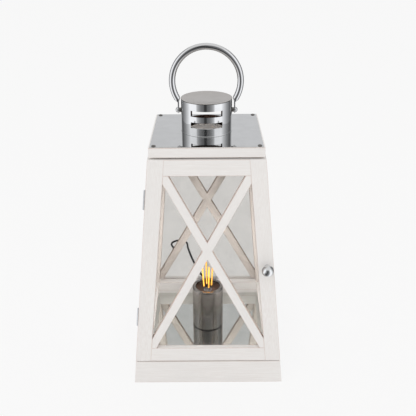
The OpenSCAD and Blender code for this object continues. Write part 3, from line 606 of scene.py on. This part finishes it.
def ring_sections():
    """The round bar's arc, then the ends pressed flat into the tabs, from one tab to the other."""
    half = []
    for k in range(ARC_STEPS + 1):
        turn = math.radians(-RING_END + (90 + RING_END) * k / ARC_STEPS)
        centre = (RING_R * math.cos(turn), 0, RING_Z + RING_R * math.sin(turn))
        half.append((centre, (math.cos(turn), 0, math.sin(turn)), Y, RING_BAR_R, RING_BAR_R, 2))
    end = half[0]
    legs = []
    for k in range(1, LEG_STEPS + 1):
        share = ease(k / LEG_STEPS, 0, 1)
        centre = Vector(end[0]).lerp(Vector((TAB_X, 0, TAB_TOP)), k / LEG_STEPS)
        side = Vector(end[1]).lerp(Vector(X), share).normalized()
        half_t = RING_BAR_R + (TAB_HALF_T - RING_BAR_R) * share
        half_w = RING_BAR_R + (TAB_HALF_W - RING_BAR_R) * share
        legs.append((centre, side, Y, half_t, half_w, 2 + (TAB_SQUARE - 2) * share))
    for drop in TAB_DROPS:
        z = TAB_TOP - drop
        below = max(0.0, PIVOT_Z - z)
        half_w = math.sqrt(max(TAB_HALF_W**2 - below**2, 0.01))
        legs.append(((TAB_X, 0, z), X, Y, TAB_HALF_T, half_w, TAB_SQUARE))
    right = legs[::-1] + half
    left = [((-c[0], c[1], c[2]), (-s[0], s[1], s[2]), o, a, b, n) for c, s, o, a, b, n in right[:-1]]
    return right + left[::-1]


made("ring_bar", *loft(ring_sections(), 48), ring_chrome, "ring", ["carrying_ring"], "polished_steel")

RIVET_HEAD_R, RIVET_DOME, RIVET_R, RIVET_TAIL_R, RIVET_TAIL_T = 4.1, 3.1, 2.3, 3.75, 1.9
RIVET_IN, RIVET_OUT = 34.3, 43.7
rivet = [(0, RIVET_IN), (RIVET_TAIL_R, RIVET_IN), (RIVET_TAIL_R, RIVET_IN + RIVET_TAIL_T)]
rivet += [(RIVET_R, RIVET_IN + RIVET_TAIL_T), (RIVET_R, RIVET_OUT), (RIVET_HEAD_R, RIVET_OUT)]
for angle in (12, 24, 36, 48, 60, 72, 82):
    turn = math.radians(angle)
    rivet.append((RIVET_HEAD_R * math.cos(turn), RIVET_OUT + RIVET_DOME * math.sin(turn)))
rivet.append((0, RIVET_OUT + RIVET_DOME + 0.05))
rivet_right = moved(lathe(rivet, 48), Matrix.Translation((0, 0, PIVOT_Z)) @ TO_X)
rivet_left = moved(rivet_right, Matrix.Rotation(math.pi, 4, "Z"))
made("rivet_heads", *joined(rivet_right, rivet_left), chrome, "housing", ["ring_rivets"], "polished_steel")

# ---- Lamp cup, bulb and knob ----

SHOULDER_R, FOOT_R, LIP_R, LIP_H, SHOULDER_T = 3, 1.3, 0.7, 3, 1.2
cup_inner_r, foot_z, mouth_outer_r = CUP_R - CUP_WALL, FLOOR_TOP + 0.02, CUP_MOUTH_R + CUP_WALL
cup = [(0, foot_z), (CUP_R - FOOT_R, foot_z)]
cup += arc((CUP_R - FOOT_R, FLOOR_TOP + FOOT_R), FOOT_R, -70, 0, 6)
cup += arc((CUP_R - SHOULDER_R, CUP_TOP - SHOULDER_R), SHOULDER_R, 0, 90, 12)
cup += [(CUP_MOUTH_R + 0.9, CUP_TOP)] + arc((CUP_MOUTH_R + LIP_R, CUP_TOP - LIP_R), LIP_R, 90, 180, 6)
cup += [(CUP_MOUTH_R, CUP_TOP - LIP_H), (mouth_outer_r, CUP_TOP - LIP_H)]
cup.append((mouth_outer_r, CUP_TOP - SHOULDER_T))
cup += [(cup_inner_r - 2, CUP_TOP - SHOULDER_T), (cup_inner_r, CUP_TOP - 3.5), (cup_inner_r, FLOOR_TOP + 1)]
made("cup_shell", *lathe(cup, 128), cup_chrome, "housing", ["lamp_cup"], "dark_chrome")

BELLY_PLACE, BELLY_FULLNESS = 0.716, 0.85


def bulb_radius(share):
    """The candle bulb's radius at a share of its height: widest low down, and never under the neck's."""
    belly = BULB_R * math.sin(math.pi * share**BELLY_PLACE) ** BELLY_FULLNESS
    return max(BULB_NECK_R, belly) if share < 0.3 else belly


BULB_STEPS = 60
bulb = [(BULB_NECK_R, BULB_SEAT)]
bulb += [(bulb_radius(k / BULB_STEPS), BULB_SEAT + BULB_LEN * k / BULB_STEPS) for k in range(1, BULB_STEPS)]
bulb.append((0, BULB_SEAT + BULB_LEN - 0.05))
made("bulb_envelope", *lathe(bulb), bulb_clear, "bulb", ["bulb_glass"], "clear_glass")

KNOB_NECK_R = 3.6
knob_tilt = Matrix.Rotation(math.radians(90) - LEAN_ANGLE, 4, "X")
knob_place = Matrix.Translation((KNOB_X, -half_at(KNOB_Z), KNOB_Z)) @ knob_tilt
knob = [(0, 0), (5, 0)] + arc((4.5, 0.9), 0.5, 0, 90, 5) + [(3.7, 1.5), (3.3, 2.4), (3.3, 3.6)]
neck_angle = math.degrees(math.asin(KNOB_NECK_R / KNOB_R))
knob += arc((0, KNOB_REACH), KNOB_R, -90 + neck_angle, 90, 40)
made("knob_ball", *lathe(knob, 80), chrome, "door", ["door_knob"], "polished_steel", knob_place)

# ---- Mains lead: strain relief, cord, tie and plug ----

EXIT_Z, RELIEF_START, RELIEF_END = 18, 117, 150
# The ribbed sleeve outside the flange: where it starts, its first and last rib, and the ribs' number
SLEEVE_START, THICK_RIB, THIN_RIB, RELIEF_RIBS = 122.4, 4.7, 2.95, 8
relief = [(0, RELIEF_START - 2), (3.9, RELIEF_START - 2), (3.9, 118.4), (6.5, 119.1), (6.5, 121), (5.6, 122)]
rib_pitch = (RELIEF_END - 1.5 - SLEEVE_START) / RELIEF_RIBS
for k in range(RELIEF_RIBS):
    near, far = SLEEVE_START + rib_pitch * k, SLEEVE_START + rib_pitch * (k + 0.62)
    size = THICK_RIB - (THICK_RIB - THIN_RIB) * k / RELIEF_RIBS
    relief += [(size, near), (size - 0.08, far), (size - 0.75, far + 0.25), (size - 0.8, far + 0.9)]
relief += [(2.75, RELIEF_END - 0.6), (2.5, RELIEF_END), (0, RELIEF_END)]
made("relief_boot", *lathe(relief, 48), black_rubber, "housing", ["lead_relief"], "black_rubber",
     Matrix.Translation((0, 0, EXIT_Z)) @ TO_Y)

LOOP_ROUTE = [
    (0, 150, 18), (0, 158, 17.5), (-1, 168, 14), (-3, 180, 8.5), (-7, 193, 4), (-12, 206, LAY),
    (-19, 226, LAY), (-27.5, 252, LAY), (-35.5, 282, LAY), (-41.5, 309, LAY), (-45.5, 329, LAY),
    (-46.6, 339.9, LAY), (-47.7, 347.9, LAY), (-50, 354.3, LAY), (-54.5, 359.4, LAY),
    (-60.6, 362.5, LAY), (-67.3, 363.1, LAY), (-73.9, 361.3, LAY), (-79.3, 357.1, LAY),
    (-82.8, 351.3, LAY), (-83.9, 344.6, LAY), (-82.4, 337.9, LAY), (-80.1, 332.4, LAY),
    (-78.1, 324.5, LAY), (-78.7, 316.4, LAY), (-80.2, 298, LAY), (-84.5, 276, LAY), (-90, 250, LAY),
    (-95, 222, LAY), (-97.8, 190, LAY), (-97.3, 154.5, LAY),
]
TAIL_ROUTE = [
    (-66, 123.2, 6.4), (-54, 123.6, 6.2), (-40, 125, 4.6), (-26, 127.5, 2.7), (-12, 131, LAY),
    (4, 136, LAY), (16, 141, 2.8), (24, 144.6, 4.6), (32, 146, 6.6),
]
COIL_CENTRE = (-66, 154.5)
COIL_RADII = (31.3, 27.1, 22.9, 18.7, 18.7, 22.9, 27.1, 31.3)
COIL_TURNS, COIL_POINTS, FIRST_LAYER_TURNS = 7.25, 16, 4


def coil_points():
    """Two layers: inwards on the table, up on the innermost turn, then outwards on top."""
    points = []
    for i in range(1, int(COIL_TURNS * COIL_POINTS)):
        k, share = divmod(i / COIL_POINTS, 1)
        k = int(k)
        shift = ease(share, 0.75, 1) if k < FIRST_LAYER_TURNS - 1 else ease(share, 0.25, 0.5)
        if k in (FIRST_LAYER_TURNS - 1, len(COIL_RADII) - 1):
            shift = 0
        next_radius = COIL_RADII[min(k + 1, len(COIL_RADII) - 1)]
        radius = COIL_RADII[k] + shift * (next_radius - COIL_RADII[k])
        rise = 0.0 if k < FIRST_LAYER_TURNS - 1 else 1.0
        if k == FIRST_LAYER_TURNS - 1:
            rise = ease(share, 0.5, 0.75)
        turn = math.pi + math.tau * i / COIL_POINTS
        x, y = COIL_CENTRE[0] + radius * math.cos(turn), COIL_CENTRE[1] + radius * math.sin(turn)
        points.append((x, y, LAY + LEAD_D * rise))
    return points


def cord_curve(name, route, diameter, material):
    """A round cord on one smooth curve through the route's points."""
    line = [Vector(p) * MM for p in route]
    curve = bpy.data.curves.new(name, "CURVE")
    curve.dimensions = "3D"
    curve.resolution_u = 5
    curve.bevel_depth = diameter / 2 * MM
    curve.bevel_resolution = 5
    curve.use_fill_caps = True
    spline = curve.splines.new("BEZIER")
    spline.bezier_points.add(len(line) - 1)
    for i, point in enumerate(spline.bezier_points):
        before, after = line[max(i - 1, 0)], line[min(i + 1, len(line) - 1)]
        point.co = line[i]
        point.handle_left_type = point.handle_right_type = "FREE"
        point.handle_left = line[i] - (after - before) / 6
        point.handle_right = line[i] + (after - before) / 6
    curve.materials.append(material)
    cord = bpy.data.objects.new(name, curve)
    bpy.context.scene.collection.objects.link(cord)
    return cord


lead = cord_curve("mains_lead", LOOP_ROUTE + coil_points() + TAIL_ROUTE, LEAD_D, lead_black)
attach(lead, "housing")
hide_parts("lead_loop", "lead_coil", "lead_tail")


def band(inner, outer, half_width):
    """A flat strap closed round a rounded rectangle; inner and outer are (half width, low, high)."""
    steps, points, faces = 40, [], []
    for half, low, high in (inner, outer):
        for side in (-half_width, half_width):
            for k in range(steps):
                c, s = math.cos(math.tau * k / steps), math.sin(math.tau * k / steps)
                a = math.copysign(abs(c) ** 0.3, c) * half
                b = (low + high) / 2 + math.copysign(abs(s) ** 0.3, s) * (high - low) / 2
                points.append((a, side, b))
    for k in range(steps):
        n = (k + 1) % steps
        inner_a, inner_b, outer_a, outer_b = 0, steps, 2 * steps, 3 * steps
        faces += [
            [inner_a + k, inner_a + n, inner_b + n, inner_b + k],
            [outer_a + n, outer_a + k, outer_b + k, outer_b + n],
            [inner_a + n, inner_a + k, outer_a + k, outer_a + n],
            [inner_b + k, inner_b + n, outer_b + n, outer_b + k],
        ]
    return points, faces


# The strap crosses the turns at the coil's right; its loops are (half width, low, high)
TIE_X, TIE_HALF_W, TIE_INNER, TIE_OUTER = 25, 3.5, (8.7, 0.06, 8.7), (9.6, 0.01, 9.6)
tie_place = Matrix.Translation((COIL_CENTRE[0] + TIE_X, COIL_CENTRE[1], 0))
tie_shape = band(TIE_INNER, TIE_OUTER, TIE_HALF_W)
tie = made("coil_tie", *tie_shape, black_rubber, "housing", (), "black_rubber", tie_place)

PLUG_Y, PLUG_Z, PLUG_X, PLUG_BODY_X, PLUG_RIBS = 146, 6.9, 32, 50, 6
# One rib of the plug's sleeve: steps along it, and how far each lies under the rib's top
PLUG_RIB = ((0, 0), (1.5, 0), (1.75, 0.65), (2.45, 0.65))
# The plug's body: place along X, half width, half height and squareness
PLUG_BODY = (
    (50, 4.6, 4.4, 2.2), (50.4, 6.2, 5.2, 2.6), (52, 7.6, 5.8, 3), (55, 9.2, 6.3, 3.5),
    (59, 11.2, 6.6, 4), (64, 13.6, 6.75, 4.5), (70, 16.4, 6.8, 5), (75, 17.3, 6.8, 5.5),
    (80, 17.45, 6.8, 6), (84.6, 17.4, 6.8, 6), (85.6, 17.1, 6.5, 6), (86, 16.5, 6.0, 6),
)
plug_sections = [((PLUG_X, PLUG_Y, PLUG_Z), Y, Z_AXIS, 2.7, 2.7, 2)]
for k in range(PLUG_RIBS):
    rib_x = PLUG_X + 0.8 + (PLUG_BODY_X - PLUG_X - 1.5) * k / PLUG_RIBS
    rib_r = 2.95 + 1.6 * k / PLUG_RIBS
    for step, cut in PLUG_RIB:
        plug_sections.append(((rib_x + step, PLUG_Y, PLUG_Z), Y, Z_AXIS, rib_r - cut, rib_r - cut, 2))
for body_x, half_y, half_z, square in PLUG_BODY:
    plug_sections.append(((body_x, PLUG_Y, PLUG_Z), Y, Z_AXIS, half_y, half_z, square))
plug = made("plug_shell", *loft(plug_sections, 48), black_plastic, "housing", ["plug_body"], "black_plastic")

# ---- Studio: a pale floor, soft light, and dark cards that only reflections see ----

# The paper's half width and height, its brightness for the camera, and how much of that is its own light
FLOOR_SIZE, FLOOR_Z, PAPER, PAPER_GLOW = 14, -0.0004, 0.955, 0.88
SKY_LIGHT, SKY_COLOUR, CEILING_COLOUR = 0.92, (1, 0.992, 0.985, 1), (0.85, 0.85, 0.85, 1)
floor_mesh = bpy.data.meshes.new("studio_floor")
floor_signs = ((-1, -1), (1, -1), (1, 1), (-1, 1))
floor_corners = [(FLOOR_SIZE * x, FLOOR_SIZE * y, FLOOR_Z) for x, y in floor_signs]
floor_mesh.from_pydata(floor_corners, [], [(0, 1, 2, 3)])
studio_floor = bpy.data.objects.new("studio_floor", floor_mesh)
bpy.context.scene.collection.objects.link(studio_floor)


def node_in(tree, kind, *values, **settings):
    node = tree.nodes.new(kind)
    for key, value in settings.items():
        setattr(node, key, value)
    for socket, value in zip(node.inputs, values):
        if isinstance(value, bpy.types.NodeSocket):
            tree.links.new(value, socket)
        elif value is not None:
            socket.default_value = value
    return node


# Brightness of the light and dark cards round the lamp, by their share of the way from front to back
CARD_TURN = 0.09
FLOOR_CARDS = (
    (0.0, 0.05), (0.025, 0.06), (0.045, 0.17), (0.10, 0.22), (0.16, 0.38), (0.21, 0.62), (0.24, 1.2),
    (0.41, 1.25), (0.49, 0.8), (0.59, 0.42), (0.71, 0.18), (0.85, 0.08), (1.0, 0.06),
)
WALL_CARDS = FLOOR_CARDS[:-2] + ((0.80, 0.14), (0.87, 0.70), (1.0, 0.72))
CARD_TINT = (0.985, 0.995, 1.02)


def cards_over(tree, place, stops):
    """The cards' brightness for a place or direction, by its bearing round the lamp."""
    across, ahead, height = node_in(tree, "ShaderNodeSeparateXYZ", place).outputs
    front = node_in(tree, "ShaderNodeMath", ahead, -1.0, operation="MULTIPLY").outputs[0]
    bearing = node_in(tree, "ShaderNodeMath", across, front, operation="ARCTAN2").outputs[0]
    turned = node_in(tree, "ShaderNodeMath", bearing, CARD_TURN, operation="ADD").outputs[0]
    size = node_in(tree, "ShaderNodeMath", turned, operation="ABSOLUTE").outputs[0]
    share = node_in(tree, "ShaderNodeMath", size, math.pi, operation="DIVIDE").outputs[0]
    ramp = node_in(tree, "ShaderNodeValToRGB", share)
    elements = ramp.color_ramp.elements
    while len(elements) < len(stops):
        elements.new(1.0)
    for element, (position, bright) in zip(elements, stops):
        element.position = position
        element.color = (*(bright * tint for tint in CARD_TINT), 1)
    return ramp.outputs["Color"], height


paper = Finish("studio_paper", **{"Roughness": 0.9, "Specular IOR Level": 0.1})
fibre = paper.noise(paper.place, 3, 2, 0.5)
paper.set("Base Color", paper.blend(fibre, (0.855, 0.855, 0.855, 1), (0.865, 0.865, 0.865, 1)))
rays = node_in(paper.tree, "ShaderNodeLightPath").outputs
lit_paper = node_in(paper.tree, "ShaderNodeEmission", (PAPER, PAPER, PAPER, 1), 1.0)
floor_colour, _ = cards_over(paper.tree, paper.place, FLOOR_CARDS)
card_floor = node_in(paper.tree, "ShaderNodeEmission", floor_colour, 1.0).outputs[0]
plain = paper.shader.outputs[0]
seen = node_in(paper.tree, "ShaderNodeMixShader", PAPER_GLOW, plain, lit_paper.outputs[0]).outputs[0]
direct = node_in(paper.tree, "ShaderNodeMixShader", rays["Is Camera Ray"], plain, seen).outputs[0]
whole = node_in(paper.tree, "ShaderNodeMixShader", rays["Is Glossy Ray"], direct, card_floor).outputs[0]
paper.feed(paper.output.inputs["Surface"], whole)
floor_mesh.materials.append(paper.material)

world = bpy.data.worlds.new("studio")
world.use_nodes = True
bpy.context.scene.world = world
sky = world.node_tree
sky.nodes.clear()
direction = node_in(sky, "ShaderNodeTexCoord").outputs["Generated"]
card_colour, sky_height = cards_over(sky, direction, WALL_CARDS)
overhead = node_in(sky, "ShaderNodeMapRange", sky_height, 0.5, 0.8, 0.0, 1.0)
reflected = node_in(sky, "ShaderNodeMix", data_type="RGBA")
sky.links.new(overhead.outputs[0], reflected.inputs[0])
sky.links.new(card_colour, reflected.inputs[6])
reflected.inputs[7].default_value = CEILING_COLOUR
lighting = node_in(sky, "ShaderNodeBackground", SKY_COLOUR, SKY_LIGHT)
reflection = node_in(sky, "ShaderNodeBackground", reflected.outputs[2], 1.0)
glossy = node_in(sky, "ShaderNodeLightPath").outputs["Is Glossy Ray"]
choice = node_in(sky, "ShaderNodeMixShader", glossy, lighting.outputs[0], reflection.outputs[0])
sky.links.new(choice.outputs[0], node_in(sky, "ShaderNodeOutputWorld").inputs["Surface"])

# Soft lights, with their places and powers, and the point that they face
LIGHTS = (("key", (-1.6, -1.5, 2.2), 12), ("fill", (1.8, -1.2, 1.6), 4))
LIGHT_WIDTH, LIGHT_TARGET = 2.0, (0, 0, 0.2)
for light_name, place, power in LIGHTS:
    lamp = bpy.data.lights.new(light_name, "AREA")
    lamp.shape = "DISK"
    lamp.size = LIGHT_WIDTH
    lamp.energy = power
    holder = bpy.data.objects.new(light_name, lamp)
    holder.location = place
    holder.rotation_mode = "QUATERNION"
    holder.rotation_quaternion = (Vector(LIGHT_TARGET) - Vector(place)).to_track_quat("-Z", "Y")
    holder.visible_glossy = False
    bpy.context.scene.collection.objects.link(holder)

# Daylight that comes in through the door and reaches the back wall
DOORWAY_PLACE, DOORWAY_SIZE, DOORWAY_COLOUR = (0, -0.078, 0.15), (0.08, 0.12), (1.0, 0.985, 0.975)
DOORWAY_POWER, DOORWAY_TILT = 0.34, 72
doorway = bpy.data.lights.new("doorway_light", "AREA")
doorway.shape = "RECTANGLE"
doorway.size, doorway.size_y = DOORWAY_SIZE
doorway.energy = DOORWAY_POWER
doorway.color = DOORWAY_COLOUR
doorway_holder = bpy.data.objects.new("doorway_light", doorway)
doorway_holder.location = DOORWAY_PLACE
doorway_holder.rotation_euler = (math.radians(DOORWAY_TILT), 0, 0)
doorway_holder.visible_glossy = False
doorway_holder.visible_camera = False
bpy.context.scene.collection.objects.link(doorway_holder)

bpy.context.scene.view_settings.view_transform = "Standard"

CAMERA_PLACE = (0.0013, -0.8999, 0.6834)
CAMERA_PITCH, CAMERA_ROLL, CAMERA_LENS = 25.31, -0.33, 52.75
camera = bpy.data.objects.new("camera", bpy.data.cameras.new("camera"))
camera.data.sensor_width = 36
camera.data.lens = CAMERA_LENS
camera.data.clip_start = 0.01
camera.location = CAMERA_PLACE
camera.rotation_mode = "QUATERNION"
pitched = Matrix.Rotation(math.radians(90 - CAMERA_PITCH), 3, "X")
rolled = Matrix.Rotation(math.radians(CAMERA_ROLL), 3, "Z")
camera.rotation_quaternion = (pitched @ rolled).to_quaternion()
bpy.context.scene.collection.objects.link(camera)
bpy.context.scene.camera = camera
